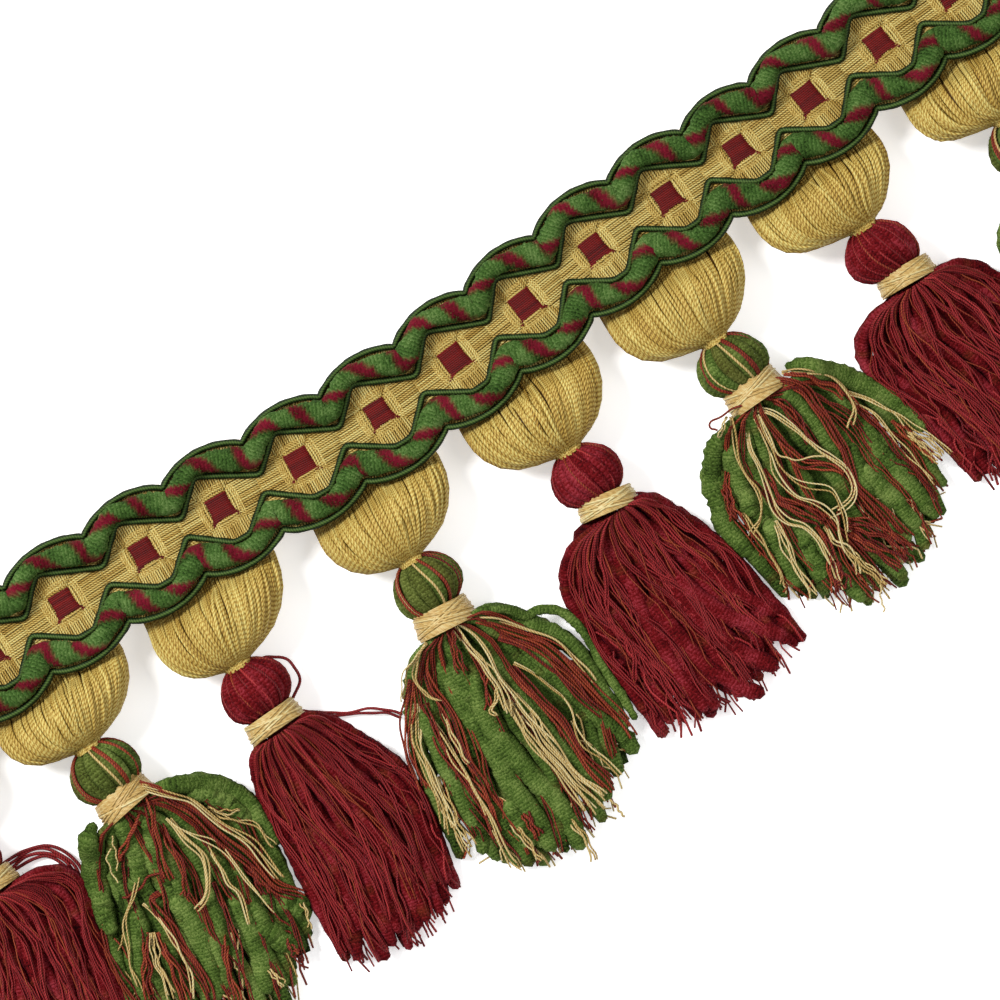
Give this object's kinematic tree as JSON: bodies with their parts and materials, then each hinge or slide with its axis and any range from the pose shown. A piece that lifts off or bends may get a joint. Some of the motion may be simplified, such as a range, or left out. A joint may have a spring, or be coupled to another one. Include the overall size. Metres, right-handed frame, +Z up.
{
  "type": "ball fringe trim",
  "caption": "Cut length of woven scalloped heading with chenille and gimp cords, hung with gathered yarn balls and spread tassels in two colours by turns, lying flat.",
  "frame": {"origin": "on the surface that the trim lies on, under the middle of its box", "axes": "+X along the heading, +Y from the tassels towards the heading, +Z up from the surface, through the trim's face"},
  "size_m": [0.2985, 0.1123, 0.0145],
  "materials": {
    "gold_thread": "satin",
    "green_chenille": "matt",
    "green_gimp": "satin",
    "burgundy_yarn": "matt",
    "mixed_green_yarn": "matt"
  },
  "bodies": {
    "root": {"heading_cloth": "gold_thread", "chenille_cord_upper": "green_chenille", "chenille_cord_lower": "green_chenille", "rim_gimp_upper": "green_gimp", "rim_gimp_lower": "green_gimp", "zigzag_gimp_upper": "green_gimp", "zigzag_gimp_lower": "green_gimp", "ball_red_1": "gold_thread", "tassel_red_1": "burgundy_yarn", "collar_red_1": "gold_thread", "ball_green_1": "gold_thread", "tassel_green_1": "mixed_green_yarn", "collar_green_1": "gold_thread", "ball_red_2": "gold_thread", "tassel_red_2": "burgundy_yarn", "collar_red_2": "gold_thread", "ball_green_2": "gold_thread", "tassel_green_2": "mixed_green_yarn", "collar_green_2": "gold_thread", "ball_red_3": "gold_thread", "tassel_red_3": "burgundy_yarn", "collar_red_3": "gold_thread", "ball_green_3": "gold_thread", "tassel_green_3": "mixed_green_yarn", "collar_green_3": "gold_thread", "ball_red_4": "gold_thread", "tassel_red_4": "burgundy_yarn", "collar_red_4": "gold_thread", "ball_green_4": "gold_thread", "tassel_green_4": "mixed_green_yarn", "collar_green_4": "gold_thread"}
  },
  "joints": []
}
